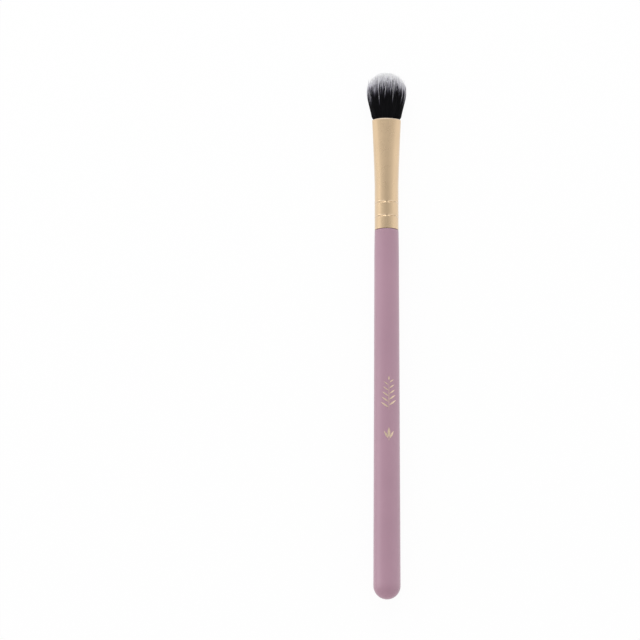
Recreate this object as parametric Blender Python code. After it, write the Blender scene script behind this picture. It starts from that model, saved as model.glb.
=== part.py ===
"""A blending brush for eye make-up: a turned and lacquered wooden handle, a drawn aluminium ferrule whose
mouth is pressed oval, and a dome-shaped tuft of two-tone synthetic filaments.

Inside the ferrule the filaments are tied with thread and cast into a plug of resin, and the handle's tenon
is glued and held by two rows of crimps, which a ring of jaws pressed in.

The brush lies on the ground along +Y with its tuft to +Y and the wide side of the tuft along X. Its round
butt and the belly of the tuft touch the ground, and the origin is on the ground under its middle. Each
piece is modelled upright about +Z, with z = 0 at the seam between handle and ferrule, and the empty
brush_axis lays that axis down. All lengths are in metres.
"""

import math

import bmesh
import bpy
from mathutils.geometry import delaunay_2d_cdt

# Lengths that show, from the butt to the crown
HANDLE_LENGTH = 0.1140
FERRULE_LENGTH = 0.0355
TUFT_LENGTH = 0.0155

# Handle: the tenon is the spigot that goes into the ferrule
BUTT_DIAMETER = 0.0082
NECK_DIAMETER = 0.00764
NECK_LENGTH = 0.0100
SHOULDER_SEAM = 0.00012
SHOULDER_EDGE = 0.00012
TENON_LENGTH = 0.0135
TENON_CHAMFER = 0.0006

# Ferrule: a tube that stays round over the tenon and is pressed oval from there to its mouth
FERRULE_DIAMETER = 0.00744
FERRULE_WALL = 0.00035
MOUTH_WIDTH = 0.00905
MOUTH_DEPTH = 0.0056
REAR_EDGE = 0.0001
LIP_ROUND = 0.0002
PRESS_EXPONENT = 1.3

# Crimps: rows of dents that jaws press into the ferrule and the tenon under it
CRIMP_COUNT = 2
FIRST_CRIMP = 0.0041
CRIMP_SPACING = 0.0044
CRIMP_WIDTH = 0.0008
CRIMP_DEPTH = 0.0002
JAW_COUNT = 8
JAW_EXPONENT = 0.5

# Tuft above the mouth: it bulges over the lip, widens to its belly and closes in a dome
BULGE_HEIGHT = 0.0010
BULGE_PROUD = 0.0002
BELLY_HEIGHT = 0.0071
TUFT_WIDTH = 0.0120
TUFT_DEPTH = 0.0082
DOME_EXPONENT = 2.4
CONVERGE_SHARE = 0.7
TIP_SPREAD = 0.0007

# Filament knot inside the ferrule
KNOT_LENGTH = 0.0110
THREAD_DIAMETER = 0.0004
THREAD_TURNS = 3
THREAD_PLACE_SHARE = 0.8

# Resin behind the knot
PLUG_LENGTH = 0.0030
MENISCUS_DEPTH = 0.0005

# Glue between tenon and ferrule
GLUE_FILM = 0.00015

# Clearances
GLUE_CLEARANCE = 0.00005
KNOT_CLEARANCE = 0.00015
THREAD_CLEARANCE = 0.00005
PLUG_CLEARANCE = 0.0001

# Strands of the tuft: the pitch and the field are shares of the knot's half width and depth
STRAND_PITCH_SHARE = 0.0955
ROW_STEP_SHARE = STRAND_PITCH_SHARE * math.sqrt(3.0) / 2
STRAND_FIELD_SHARE = 0.97
BULGE_THICKNESS_SHARE = 0.92
BELLY_THICKNESS_SHARE = 0.88
CROWN_HEIGHT_SHARE = 0.64
CROWN_THICKNESS_SHARE = 0.68
SPREAD_STEP_SHARE = 0.618
PALE_EVERY = 3

# Facets
SEGMENTS_PER_JAW = 6
SEGMENTS = SEGMENTS_PER_JAW * JAW_COUNT
BUTT_STEPS = 8
NECK_STEPS = 4
CRIMP_STEPS = 4
PRESS_STEPS = 7
LIP_STEPS = 3
MERGE_DISTANCE = 0.000001
CUT_TOLERANCE_SHARE = 0.00001
SHARP_ANGLE = math.radians(35.0)

# Finishes: linear colour, roughness and metallic value
LACQUER = ((0.445, 0.270, 0.345), 0.42, 0.0)
ANODISED = ((0.750, 0.560, 0.360), 0.33, 1.0)
FILAMENT_ROOT = ((0.006, 0.006, 0.008), 0.60, 0.0)
FILAMENT_TIP = ((0.640, 0.640, 0.670), 0.70, 0.0)
THREAD = ((0.700, 0.660, 0.580), 0.85, 0.0)
RESIN = ((0.620, 0.480, 0.260), 0.25, 0.0)
WOOD_GLUE = ((0.780, 0.740, 0.620), 0.50, 0.0)


def clear_scene():
    """Remove every object that is in the scene."""
    for obj in list(bpy.data.objects):
        bpy.data.objects.remove(obj)


def material(name, finish):
    """A material from a finish's colour, roughness and metallic value."""
    colour, roughness, metallic = finish
    made = bpy.data.materials.new(name)
    made.use_nodes = True
    shader = made.node_tree.nodes["Principled BSDF"]
    shader.inputs["Base Color"].default_value = (*colour, 1.0)
    shader.inputs["Roughness"].default_value = roughness
    shader.inputs["Metallic"].default_value = metallic
    made.diffuse_color = (*colour, 1.0)
    return made


def add_piece(name, bm, materials, parent, smooth=True):
    """Make the named object from a finished bmesh and hang it on the brush's axis."""
    bmesh.ops.recalc_face_normals(bm, faces=bm.faces)
    mesh = bpy.data.meshes.new(name)
    bm.to_mesh(mesh)
    bm.free()
    for made in materials:
        mesh.materials.append(made)
    if smooth:
        mesh.shade_smooth()
        mesh.set_sharp_from_angle(angle=SHARP_ANGLE)
    obj = bpy.data.objects.new(name, mesh)
    bpy.context.collection.objects.link(obj)
    obj.parent = parent
    return obj


def turned(profile, closed=False):
    """A body turned round Z from (radius, z) points. A closed profile makes a ring or a tube."""
    bm = bmesh.new()
    verts = [bm.verts.new((radius, 0.0, z)) for radius, z in profile]
    edges = [bm.edges.new(pair) for pair in zip(verts, verts[1:])]
    if closed:
        edges.append(bm.edges.new((verts[-1], verts[0])))
    bmesh.ops.spin(
        bm,
        geom=verts + edges,
        cent=(0.0, 0.0, 0.0),
        axis=(0.0, 0.0, 1.0),
        dvec=(0.0, 0.0, 0.0),
        angle=math.tau,
        steps=SEGMENTS,
        use_merge=True,
    )
    bmesh.ops.remove_doubles(bm, verts=bm.verts, dist=MERGE_DISTANCE)
    return bm


def ferrule_half_axes(z):
    """Half width and half depth of the ferrule's outside at z: round first, then pressed oval."""
    tube_radius = FERRULE_DIAMETER / 2
    way = (z - TENON_LENGTH) / (FERRULE_LENGTH - TENON_LENGTH)
    pressed = min(max(way, 0.0), 1.0) ** PRESS_EXPONENT
    half_width = tube_radius + pressed * (MOUTH_WIDTH / 2 - tube_radius)
    half_depth = tube_radius + pressed * (MOUTH_DEPTH / 2 - tube_radius)
    return half_width, half_depth


def press_oval(bm):
    """Press what was turned for the round tube into the ferrule's oval, with its walls kept even."""
    tube_radius = FERRULE_DIAMETER / 2
    for vert in bm.verts:
        radius = math.hypot(vert.co.x, vert.co.y)
        if radius < MERGE_DISTANCE:
            continue
        half_width, half_depth = ferrule_half_axes(vert.co.z)
        vert.co.x *= 1.0 + (half_width - tube_radius) / radius
        vert.co.y *= 1.0 + (half_depth - tube_radius) / radius
    return bm


def bore_radius():
    """Radius of the ferrule's bore where it is round."""
    return FERRULE_DIAMETER / 2 - FERRULE_WALL


def tenon_radius():
    """Radius of the tenon: the bore less the film of glue and its clearances."""
    return bore_radius() - GLUE_FILM - 2 * GLUE_CLEARANCE


def crimp_centre(number):
    """Where crimp number 0, 1, ... lies along the ferrule."""
    return FIRST_CRIMP + number * CRIMP_SPACING


def crimp_points(radius):
    """(radius, z) points, upwards, where a wall of this radius will be pressed in by the jaws."""
    points = []
    for number in range(CRIMP_COUNT):
        for step in range(CRIMP_STEPS + 1):
            reach = 2.0 * step / CRIMP_STEPS - 1.0
            points.append((radius, crimp_centre(number) + reach * CRIMP_WIDTH / 2))
    return points


def crimp_dip(z, angle):
    """How far a wall is pressed in at z and at this angle: full inside a jaw, nothing between two."""
    pressed = abs(math.sin(JAW_COUNT * angle / 2)) ** JAW_EXPONENT
    for number in range(CRIMP_COUNT):
        reach = (z - crimp_centre(number)) / (CRIMP_WIDTH / 2)
        if abs(reach) < 1.0:
            return pressed * CRIMP_DEPTH * (1.0 + math.cos(math.pi * reach)) / 2
    return 0.0


def press_crimps(bm):
    """Press the rows of dents into a body turned round Z, all its walls by the same amount."""
    for vert in bm.verts:
        dip = crimp_dip(vert.co.z, math.atan2(vert.co.y, vert.co.x))
        if dip > 0.0:
            share = 1.0 - dip / math.hypot(vert.co.x, vert.co.y)
            vert.co.x *= share
            vert.co.y *= share
    return bm


def rounded_lip():
    """(radius, z) points of the quarter round that ends the ferrule's outside at its mouth."""
    centre_radius = FERRULE_DIAMETER / 2 - LIP_ROUND
    points = []
    for step in range(LIP_STEPS + 1):
        angle = math.pi / 2 * step / LIP_STEPS
        rise = LIP_ROUND * (math.sin(angle) - 1.0)
        points.append((centre_radius + LIP_ROUND * math.cos(angle), FERRULE_LENGTH + rise))
    return points


def handle_profile():
    """The turned outline of the handle, from the tip of its tenon down to the butt."""
    tube_radius = FERRULE_DIAMETER / 2
    butt_radius = BUTT_DIAMETER / 2
    neck_radius = NECK_DIAMETER / 2
    edge_z = -SHOULDER_SEAM - SHOULDER_EDGE
    points = [
        (0.0, TENON_LENGTH),
        (tenon_radius() - TENON_CHAMFER, TENON_LENGTH),
        (tenon_radius(), TENON_LENGTH - TENON_CHAMFER),
    ]
    points += reversed(crimp_points(tenon_radius()))
    points += [
        (tenon_radius(), -SHOULDER_SEAM),
        (tube_radius - SHOULDER_EDGE, -SHOULDER_SEAM),
    ]
    for step in range(NECK_STEPS + 1):
        way = step / NECK_STEPS
        swell = math.sin(math.pi / 2 * way)
        radius = tube_radius + swell * (neck_radius - tube_radius)
        points.append((radius, edge_z + way * (-NECK_LENGTH - edge_z)))
    for step in range(BUTT_STEPS + 1):
        angle = math.pi / 2 * step / BUTT_STEPS
        height = butt_radius * (1.0 - math.sin(angle))
        points.append((butt_radius * math.cos(angle), height - HANDLE_LENGTH))
    return points


def ferrule_profile():
    """The closed outline of the ferrule's wall while it is still a round tube."""
    outer = FERRULE_DIAMETER / 2
    press_length = FERRULE_LENGTH - LIP_ROUND - TENON_LENGTH
    press_places = [TENON_LENGTH + press_length * step / PRESS_STEPS for step in range(PRESS_STEPS)]
    outside = [(outer - REAR_EDGE, 0.0), (outer, REAR_EDGE)]
    outside += crimp_points(outer)
    outside += [(outer, z) for z in press_places]
    outside += rounded_lip()
    inside = [(bore_radius(), 0.0)]
    inside += crimp_points(bore_radius())
    inside += [(bore_radius(), z) for z in press_places]
    inside.append((bore_radius(), FERRULE_LENGTH))
    return outside + inside[::-1]


def make_handle(parent):
    """The wooden handle with its tenon, dented where the ferrule is crimped."""
    bm = press_crimps(turned(handle_profile()))
    return add_piece("handle", bm, [material("pink_lacquer", LACQUER)], parent)


def make_ferrule(parent):
    """The anodised aluminium tube, crimped at its rear and pressed oval at its mouth."""
    bm = press_oval(press_crimps(turned(ferrule_profile(), closed=True)))
    return add_piece("ferrule", bm, [material("champagne_anodised", ANODISED)], parent)


def make_tenon_glue(parent):
    """The film of wood glue round the front of the tenon, beyond the last crimp."""
    outer = bore_radius() - GLUE_CLEARANCE
    inner = tenon_radius() + GLUE_CLEARANCE
    rear = crimp_centre(CRIMP_COUNT - 1) + CRIMP_WIDTH
    front = TENON_LENGTH - TENON_CHAMFER
    profile = [(outer, rear), (outer, front), (inner, front), (inner, rear)]
    bm = turned(profile, closed=True)
    return add_piece("tenon_glue", bm, [material("wood_glue", WOOD_GLUE)], parent)


def knot_rear():
    """Where the filaments end inside the ferrule."""
    return FERRULE_LENGTH - KNOT_LENGTH


def thread_span():
    """The rear and front of the band that the binding thread covers on the knot."""
    middle = FERRULE_LENGTH - THREAD_PLACE_SHARE * KNOT_LENGTH
    half = THREAD_TURNS * THREAD_DIAMETER / 2
    return middle - half, middle + half


def make_resin_plug(parent):
    """The resin cast behind the knot, with a hollow rear face where it set."""
    radius = bore_radius() - PLUG_CLEARANCE
    front = knot_rear() - PLUG_CLEARANCE
    rear = front - PLUG_LENGTH
    profile = [(0.0, front), (radius, front), (radius, rear), (0.0, rear + MENISCUS_DEPTH)]
    bm = press_oval(turned(profile))
    return add_piece("resin_plug", bm, [material("cast_resin", RESIN)], parent)


def make_binding_thread(parent):
    """The turns of thread that tie the knot, side by side in its waist."""
    outer = bore_radius() - THREAD_CLEARANCE
    middle = outer - THREAD_DIAMETER / 2
    inner = outer - THREAD_DIAMETER
    rear, front = thread_span()
    outside = []
    inside = []
    for turn in range(THREAD_TURNS):
        start = rear + turn * THREAD_DIAMETER
        outside += [(middle, start), (outer, start + THREAD_DIAMETER / 2)]
        inside.append((inner, start + THREAD_DIAMETER / 2))
    outside.append((middle, front))
    bm = press_oval(turned(outside + inside[::-1], closed=True))
    return add_piece("binding_thread", bm, [material("cotton_thread", THREAD)], parent)


def knot_outline(z, inset):
    """Points of the knot's oval at z, this far inside the ferrule's outer surface."""
    half_width, half_depth = ferrule_half_axes(z)
    points = []
    for segment in range(SEGMENTS):
        angle = math.tau * segment / SEGMENTS
        points.append(((half_width - inset) * math.cos(angle), (half_depth - inset) * math.sin(angle), z))
    return points


def dome_share(share):
    """How far a dome of unit height and width reaches inwards at this share of its height."""
    return (1.0 - share**DOME_EXPONENT) ** (1.0 / DOME_EXPONENT)


def tuft_half_axes(height, reach):
    """Half width and half depth of the field of strands at a height above the ferrule's mouth.

    The reach is how much of the field its outermost strands fill, across and in depth.
    """
    half_width, half_depth = ferrule_half_axes(FERRULE_LENGTH)
    inset = FERRULE_WALL + KNOT_CLEARANCE
    root = (STRAND_FIELD_SHARE * (half_width - inset), STRAND_FIELD_SHARE * (half_depth - inset))
    bulge = ((half_width + BULGE_PROUD) / reach[0], (half_depth + BULGE_PROUD) / reach[1])
    belly = (TUFT_WIDTH / 2 / reach[0], TUFT_DEPTH / 2 / reach[1])
    if height < BULGE_HEIGHT:
        return between(root, bulge, height / BULGE_HEIGHT)
    if height < BELLY_HEIGHT:
        return between(bulge, belly, (height - BULGE_HEIGHT) / (BELLY_HEIGHT - BULGE_HEIGHT))
    drawn_in = dome_share(CONVERGE_SHARE * (height - BELLY_HEIGHT) / (TUFT_LENGTH - BELLY_HEIGHT))
    return drawn_in * belly[0], drawn_in * belly[1]


def between(start, end, way):
    """The pair of sizes this part of the way from start to end."""
    return start[0] + way * (end[0] - start[0]), start[1] + way * (end[1] - start[1])


def tip_height(distance, number):
    """How high a strand's tip stands on the dome, by its distance from the middle of the field."""
    dome = dome_share(distance) / dome_share(CONVERGE_SHARE * distance)
    drop = TIP_SPREAD * (number * SPREAD_STEP_SHARE % 1.0)
    return BELLY_HEIGHT + dome * (TUFT_LENGTH - BELLY_HEIGHT) - drop


def lattice_point(column, row):
    """Where a corner of the strands' triangular lattice lies in the unit circle."""
    return (column + (row - 1) / 2) * STRAND_PITCH_SHARE, (row - 1 / 3) * ROW_STEP_SHARE


def middle_of(root):
    """The middle of a root's three lattice corners."""
    points = [lattice_point(*corner) for corner in root]
    return sum(x for x, y in points) / len(points), sum(y for x, y in points) / len(points)


def strand_roots():
    """The lattice corners of each strand's three-sided root, packed like round fibres.

    Every second triangle of the lattice is a root. The list starts at the middle of the circle.
    """
    reach = math.ceil(2.0 / STRAND_PITCH_SHARE)
    roots = []
    for row in range(-reach, reach):
        for column in range(-reach, reach):
            root = ((column, row), (column + 1, row), (column, row + 1))
            if max(math.hypot(*lattice_point(*corner)) for corner in root) <= 1.0:
                roots.append(root)
    roots.sort(key=lambda root: math.hypot(*middle_of(root)))
    return roots


def strand_corners(root, thickness):
    """The strand's three corners in the unit circle, drawn towards its own middle by its thickness."""
    middle_x, middle_y = middle_of(root)
    corners = []
    for corner in root:
        x, y = lattice_point(*corner)
        corners.append((middle_x + thickness * (x - middle_x), middle_y + thickness * (y - middle_y)))
    return corners


def field_reach(roots):
    """How far the outermost strands' corners lie across and below the middle of the unit circle."""
    corners = [corner for root in roots for corner in strand_corners(root, BELLY_THICKNESS_SHARE)]
    return max(across for across, deep in corners), max(deep for across, deep in corners)


def strand_section(root, height, thickness, reach):
    """The strand's three corners at a height above the ferrule's mouth."""
    half_width, half_depth = tuft_half_axes(height, reach)
    z = FERRULE_LENGTH + height
    return [(half_width * across, half_depth * deep, z) for across, deep in strand_corners(root, thickness)]


def knot_face(bm, roots):
    """The knot's front face, cut into the strands' roots and what lies between them.

    Returns the rim's verts, the root faces in the order of the roots, and the lattice corner of each vert.
    """
    half_width, half_depth = tuft_half_axes(0.0, field_reach(roots))
    corners = sorted({corner for root in roots for corner in root})
    places = [lattice_point(*corner) for corner in corners]
    for x, y, _z in knot_outline(FERRULE_LENGTH, FERRULE_WALL + KNOT_CLEARANCE):
        places.append((x / half_width, y / half_depth))
    inner = len(corners)
    ring = [(inner + step, inner + (step + 1) % SEGMENTS) for step in range(SEGMENTS)]
    faces = [[corners.index(corner) for corner in root] for root in roots]
    cut = delaunay_2d_cdt(places, ring, faces, 0, CUT_TOLERANCE_SHARE)
    points, _edges, triangles, point_sources, _edge_sources, triangle_sources = cut
    verts = [bm.verts.new((x * half_width, y * half_depth, FERRULE_LENGTH)) for x, y in points]
    root_faces = {}
    for triangle, sources in zip(triangles, triangle_sources):
        face = bm.faces.new([verts[index] for index in triangle])
        for source in sources:
            root_faces[source] = face
    rim = {}
    corner_of = {}
    for vert, sources in zip(verts, point_sources):
        if sources[0] < inner:
            corner_of[vert] = corners[sources[0]]
        else:
            rim[sources[0] - inner] = vert
    return [rim[step] for step in range(SEGMENTS)], [root_faces[n] for n in range(len(roots))], corner_of


def raise_strand(bm, number, root, face, order, reach):
    """Draw a root face up into a strand that bulges over the lip, widens to the belly and tapers.

    Every tip is pale, and so is every third strand from the belly up.
    """
    top = tip_height(math.hypot(*middle_of(root)), number)
    levels = [
        (BULGE_HEIGHT, BULGE_THICKNESS_SHARE),
        (BELLY_HEIGHT, BELLY_THICKNESS_SHARE),
        (BELLY_HEIGHT + CROWN_HEIGHT_SHARE * (top - BELLY_HEIGHT), CROWN_THICKNESS_SHARE),
    ]
    for height, thickness in levels:
        face = bmesh.ops.extrude_discrete_faces(bm, faces=[face])["faces"][0]
        section = strand_section(root, height, thickness, reach)
        for vert, corner in zip(face.verts, order):
            vert.co = section[corner]
    pale = []
    if number % PALE_EVERY == 0:
        pale += [side for edge in face.edges for side in edge.link_faces if side is not face]
    tip = bmesh.ops.poke(bm, faces=[face])
    tip["verts"][0].co = strand_section(root, top, 0.0, reach)[0]
    for side in pale + tip["faces"]:
        side.material_index = 1


def wrap_knot(bm, rim):
    """Skin the sides and the rear of the knot, drawn in under the binding thread."""
    thread_rear, thread_front = thread_span()
    side = FERRULE_WALL + KNOT_CLEARANCE
    waist = FERRULE_WALL + THREAD_DIAMETER + 2 * THREAD_CLEARANCE
    rear_waist = thread_rear - THREAD_CLEARANCE
    front_waist = thread_front + THREAD_CLEARANCE
    slope = waist - side
    levels = [
        (front_waist + slope, side),
        (front_waist, waist),
        (rear_waist, waist),
        (rear_waist - slope, side),
        (knot_rear(), side),
    ]
    for z, inset in levels:
        ring = [bm.verts.new(point) for point in knot_outline(z, inset)]
        for index in range(SEGMENTS):
            after = (index + 1) % SEGMENTS
            bm.faces.new((rim[index], rim[after], ring[after], ring[index]))
        rim = ring
    bm.faces.new(rim)


def make_tuft(parent):
    """The filaments: a packed knot in the ferrule and the strands that stand out of it."""
    bm = bmesh.new()
    roots = strand_roots()
    reach = field_reach(roots)
    rim, faces, corner_of = knot_face(bm, roots)
    for number, (root, face) in enumerate(zip(roots, faces)):
        order = [root.index(corner_of[vert]) for vert in face.verts]
        raise_strand(bm, number, root, face, order, reach)
    wrap_knot(bm, rim)
    finishes = [material("filament_root", FILAMENT_ROOT), material("filament_tip", FILAMENT_TIP)]
    print(f"bristle_tuft: {len(roots)} strands")
    return add_piece("bristle_tuft", bm, finishes, parent, smooth=False)


def make_axis():
    """The empty that carries the pieces and lays the brush on the ground along +Y."""
    axis = bpy.data.objects.new("brush_axis", None)
    bpy.context.collection.objects.link(axis)
    overall = HANDLE_LENGTH + FERRULE_LENGTH + TUFT_LENGTH
    height = max(BUTT_DIAMETER, TUFT_DEPTH) / 2
    axis.location = (0.0, HANDLE_LENGTH - overall / 2, height)
    axis.rotation_euler = (-math.pi / 2, 0.0, 0.0)
    return axis


def main():
    """Build the brush."""
    clear_scene()
    axis = make_axis()
    make_handle(axis)
    make_tenon_glue(axis)
    make_ferrule(axis)
    make_resin_plug(axis)
    make_binding_thread(axis)
    make_tuft(axis)


main()
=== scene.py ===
"""The looks of a blending brush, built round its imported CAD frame.

The brush lies on a white floor along +Y with its tuft to +Y. Places along it are given as distances from the
seam between handle and ferrule, towards the tuft, and all lengths are in metres.
"""

import logging
import math
from dataclasses import dataclass, field
from enum import Enum

import bpy
import numpy as np
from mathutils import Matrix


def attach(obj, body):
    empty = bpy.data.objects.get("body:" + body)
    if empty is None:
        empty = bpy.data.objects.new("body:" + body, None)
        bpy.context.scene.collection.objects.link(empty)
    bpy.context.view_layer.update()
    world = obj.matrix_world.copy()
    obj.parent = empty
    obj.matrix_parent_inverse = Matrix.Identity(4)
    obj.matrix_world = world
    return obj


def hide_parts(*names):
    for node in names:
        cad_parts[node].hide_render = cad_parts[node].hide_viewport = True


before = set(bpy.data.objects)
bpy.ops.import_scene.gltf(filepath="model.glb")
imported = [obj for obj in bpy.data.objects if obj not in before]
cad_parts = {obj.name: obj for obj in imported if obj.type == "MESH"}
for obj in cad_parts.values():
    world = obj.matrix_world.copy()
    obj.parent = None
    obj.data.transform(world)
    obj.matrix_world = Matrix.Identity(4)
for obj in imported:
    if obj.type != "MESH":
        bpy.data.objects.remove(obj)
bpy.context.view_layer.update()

LOG = logging.getLogger("blending_brush")
MM = 0.001
WHITE = (1.0, 1.0, 1.0, 1.0)

Colour = tuple[float, float, float]
Points = np.ndarray
Row = tuple[float, ...]
Span = tuple[float, float]
Material = bpy.types.Material
Mesh = bpy.types.Mesh
Socket = bpy.types.NodeSocket


class Slot(Enum):
    """Names of material slots."""

    LACQUER = "handle_lacquer"
    ALUMINIUM = "ferrule_aluminium"
    FILAMENT = "tuft_filament"
    THREAD = "binding_cotton"
    RESIN = "cast_resin"
    GLUE = "wood_glue"


class Side(Enum):
    """The two sides of the brush, as signs along X."""

    LEFT = -1
    RIGHT = 1


@dataclass(frozen=True)
class BrushAxis:
    """Where the brush's long axis lies: the Y of the seam between handle and ferrule, and the axis's Z."""

    seam: float = 31.5 * MM
    height: float = 4.1 * MM

    def place(self, across: Points, along: Points, up: Points) -> Points:
        """Points of the scene, from distances across the axis, along it from the seam, and above it."""
        return np.stack([across, self.seam + along, self.height + up], axis=-1).reshape(-1, 3)

    def rings(self, wide: Points, deep: Points, along: Points, angle: Points) -> Points:
        """Rings of points round the axis, from half widths, half depths, distances along it and angles."""
        return self.place(wide * np.sin(angle), along + 0 * angle, deep * np.cos(angle))


AXIS = BrushAxis()


def angles(count: int) -> Points:
    """Even angles round the axis, in one row."""
    return np.linspace(0.0, math.tau, count, endpoint=False)[None, :]


def quarter(radius: float, count: int) -> Points:
    """Rows of points on a quarter circle, from its first axis to its second."""
    turn = np.linspace(0.0, math.pi / 2, count)
    return radius * np.stack([np.cos(turn), np.sin(turn)], axis=-1)


def new_mesh(name: str, points: Points, faces: list[Points], smooth: bool = True, **values: Points) -> Mesh:
    """Make a mesh from points and from arrays of faces with equal numbers of corners.

    Args:
        name: The mesh's name.
        points: One point a row.
        faces: Arrays of point numbers, one face a row.
        smooth: Whether the faces are shaded smooth.
        values: One number a point for each attribute that the finish reads.

    Returns:
        The mesh.
    """
    mesh = bpy.data.meshes.new(name)
    corners = np.concatenate([group.ravel() for group in faces]).astype(np.int32)
    counts = np.concatenate([np.full(len(group), group.shape[1]) for group in faces])
    starts = np.concatenate([[0], np.cumsum(counts)[:-1]]).astype(np.int32)
    mesh.vertices.add(len(points))
    mesh.vertices.foreach_set("co", points.astype(np.float32).ravel())
    mesh.loops.add(len(corners))
    mesh.loops.foreach_set("vertex_index", corners)
    mesh.polygons.add(len(counts))
    mesh.polygons.foreach_set("loop_start", starts)
    mesh.polygons.foreach_set("use_smooth", np.full(len(counts), smooth))
    mesh.update(calc_edges=True)
    mesh.validate()
    for label, numbers in values.items():
        layer = mesh.attributes.new(label, "FLOAT", "POINT")
        layer.data.foreach_set("value", numbers.astype(np.float32).ravel())
    return mesh


def add_piece(mesh: Mesh, material: Material, slot: Slot, *nodes: str) -> None:
    """Hang a finished mesh on the brush.

    Args:
        mesh: The mesh, which also gives the piece its name.
        material: Its finish.
        slot: Not used.
        nodes: The CAD nodes that the piece stands for.
    """
    piece = bpy.data.objects.new(mesh.name, mesh)
    bpy.context.scene.collection.objects.link(piece)
    mesh.materials.append(material)
    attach(piece, "root")
    if nodes:
        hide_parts(*nodes)
    LOG.info("%s: %d faces", piece.name, len(mesh.polygons))


def ring_faces(rings: int, around: int, closed: bool = False) -> Points:
    """Number the four-sided faces between rings of points.

    Args:
        rings: How many rings there are.
        around: How many points each ring has.
        closed: Whether the last ring joins the first.

    Returns:
        One face a row.
    """
    spans = rings if closed else rings - 1
    ring = np.arange(spans)[:, None]
    step = np.arange(around)[None, :]
    after = (step + 1) % around
    upper = (ring + 1) % rings
    corners = [ring * around + step, upper * around + step, upper * around + after, ring * around + after]
    return np.stack([corner + 0 * step for corner in corners], axis=-1).reshape(-1, 4)


def capped_mesh(name: str, rings: Points, tips: Points, around: int) -> Mesh:
    """Make a tube that a fan closes at each end.

    Args:
        name: The mesh's name.
        rings: The points of its rings, from the front to the rear.
        tips: The middles of the front and the rear fan.
        around: How many points each ring has.

    Returns:
        The mesh.
    """
    step = np.arange(around)
    after = (step + 1) % around
    tip, rear = np.full(around, len(rings)), len(rings) - around
    fans = [np.stack([tip, step, after], axis=-1), np.stack([tip + 1, rear + after, rear + step], axis=-1)]
    faces = [ring_faces(len(rings) // around, around), np.concatenate(fans)]
    return new_mesh(name, np.concatenate([rings, tips]), faces)


class NodeTree:
    """Adds nodes to one node tree and links their sockets."""

    def __init__(self, tree: bpy.types.NodeTree) -> None:
        """Work on this tree."""
        self.tree = tree

    def add(self, kind: str, inputs: dict | None = None, **settings: object) -> bpy.types.Node:
        """Add a node.

        Args:
            kind: The node's type, without the ShaderNode before it.
            inputs: A value or a linked socket for each input, by its name or number.
            settings: The node's own settings.

        Returns:
            The node.
        """
        node = self.tree.nodes.new("ShaderNode" + kind)
        for name, value in settings.items():
            setattr(node, name, value)
        for key, value in (inputs or {}).items():
            if isinstance(value, Socket):
                self.tree.links.new(value, node.inputs[key])
            else:
                node.inputs[key].default_value = value
        return node

    def math(self, operation: str, *values: float | Socket, clamp: bool = False) -> Socket:
        """Add a Math node and return its result."""
        inputs = dict(enumerate(values))
        return self.add("Math", inputs, operation=operation, use_clamp=clamp).outputs[0]

    def blend(self, share: float | Socket, first: object, second: object, way: str = "MIX") -> Socket:
        """Mix two colours, which may be sockets.

        Args:
            share: How much of the second colour shows.
            first: The first colour.
            second: The second colour.
            way: The kind of mix.

        Returns:
            The mixed colour.
        """
        values = [value if isinstance(value, Socket) else (*value, 1.0) for value in (first, second)]
        inputs = {0: share, 6: values[0], 7: values[1]}
        return self.add("Mix", inputs, data_type="RGBA", blend_type=way).outputs[2]

    def ranged(
        self, value: Socket, low: float = 0.0, high: float = 1.0, start: float = 0.0, end: float = 1.0
    ) -> Socket:
        """Map a value from low-high to start-end, held at both ends, and return it."""
        inputs = {"Value": value, "From Min": low, "From Max": high, "To Min": start, "To Max": end}
        return self.add("MapRange", inputs, clamp=True).outputs["Result"]

    def noise(self, place: Socket, scale: float | Socket, detail: float) -> Socket:
        """Add noise at a place and return it."""
        inputs = {"Vector": place, "Scale": scale, "Detail": detail}
        return self.add("TexNoise", inputs).outputs[0]


class ShaderGroup(NodeTree):
    """A node group that several finishes share."""

    def __init__(self, name: str, taken: tuple[str, ...], given: tuple[str, ...]) -> None:
        """Make the empty group.

        Args:
            name: The group's name.
            taken: The numbers that it takes, beside a place.
            given: The numbers that it gives.
        """
        group = bpy.data.node_groups.new(name, "ShaderNodeTree")
        group.interface.new_socket("Place", in_out="INPUT", socket_type="NodeSocketVector")
        for way, labels in (("INPUT", taken), ("OUTPUT", given)):
            for label in labels:
                group.interface.new_socket(label, in_out=way, socket_type="NodeSocketFloat")
        super().__init__(group)
        self.source = self.tree.nodes.new("NodeGroupInput").outputs
        self.sink = self.tree.nodes.new("NodeGroupOutput").inputs

    def give(self, label: str, value: Socket) -> None:
        """Put a value out."""
        self.tree.links.new(value, self.sink[label])

    def use(self, nodes: NodeTree, inputs: dict) -> bpy.types.bpy_prop_collection:
        """Place the group in a material, feed its inputs and return its outputs."""
        return nodes.add("Group", inputs, node_tree=self.tree).outputs


class Mottle(ShaderGroup):
    """Soft, cloudy variation: Tone swings round 1 by Amount, and Mask runs from 0 to 1."""

    def __init__(self) -> None:
        """Build the group's nodes."""
        super().__init__("soft_mottle", ("Scale", "Amount"), ("Tone", "Mask"))
        wide = self.noise(self.source["Place"], self.source["Scale"], detail=3.0)
        mask = self.ranged(wide, low=0.3, high=0.7)
        swing = self.math("SUBTRACT", mask, 0.5)
        self.give("Tone", self.math("MULTIPLY_ADD", swing, self.source["Amount"], 1.0))
        self.give("Mask", mask)


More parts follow.
